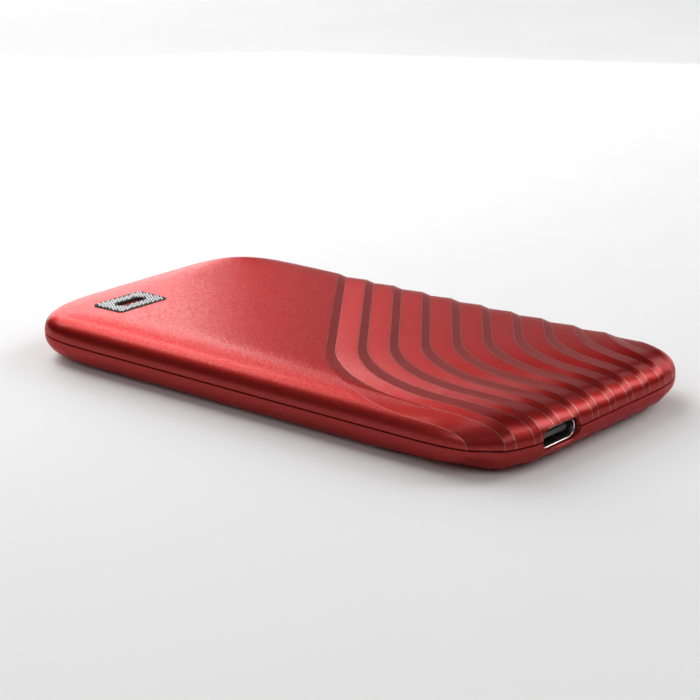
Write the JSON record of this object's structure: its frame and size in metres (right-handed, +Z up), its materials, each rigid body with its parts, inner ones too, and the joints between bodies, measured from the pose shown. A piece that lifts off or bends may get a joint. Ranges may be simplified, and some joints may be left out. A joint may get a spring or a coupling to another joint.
{
  "type": "portable solid state drive",
  "caption": "Pocket solid state drive in a slim red metal case with rounded corners, diagonal ridges that bend out over the port end, and a USB-C port.",
  "frame": {"origin": "centre of the underside, on the surface the drive lies on", "axes": "+X along the length towards the end with the port, +Y across the width, +Z up out of the face with the badge"},
  "size_m": [0.1, 0.055, 0.009],
  "materials": {
    "red_metal": "satin, fine blasted and anodised grain",
    "seal_black": "matte",
    "frame_black": "fine moulded texture",
    "badge_dark": "satin",
    "badge_silver": "satin",
    "port_steel": "bright, lightly brushed",
    "contact_gold": "bright plating",
    "port_black": "smooth",
    "foam_black": "open foam",
    "board_green": "solder mask",
    "chip_black": "moulded epoxy",
    "can_steel": "satin",
    "ferrite_grey": "matte",
    "capacitor_tan": "satin",
    "label_foil": "blank, satin",
    "post_brass": "turned",
    "screw_steel": "zinc plated",
    "pad_blue": "soft, matte",
    "adhesive_white": "matte foam tape"
  },
  "bodies": {
    "root": {"top_cover": "red_metal", "bottom_cover": "red_metal", "seam_seal": "seal_black", "inner_frame": "frame_black", "badge_plate": "badge_dark", "badge_studs": "badge_silver", "usb_shell": "port_steel", "usb_block": "port_black", "usb_tongue": "port_black", "usb_midplate": "port_steel", "usb_contacts": "contact_gold", "port_gasket": "foam_black", "bridge_board": "board_green", "bridge_chip": "chip_black", "firmware_chip": "chip_black", "crystal": "can_steel", "inductors": "ferrite_grey", "bridge_capacitors": "capacitor_tan", "bridge_resistors": "chip_black", "card_socket": "frame_black", "socket_contacts": "contact_gold", "card_board": "board_green", "card_fingers": "contact_gold", "memory_chips": "chip_black", "controller_chip": "chip_black", "power_chip": "chip_black", "card_capacitors": "capacitor_tan", "card_label": "label_foil", "standoff": "post_brass", "card_screw": "screw_steel", "board_screws": "screw_steel", "thermal_pad_top": "pad_blue", "thermal_pad_bottom": "pad_blue", "top_adhesive": "adhesive_white", "bottom_adhesive": "adhesive_white"}
  },
  "joints": []
}
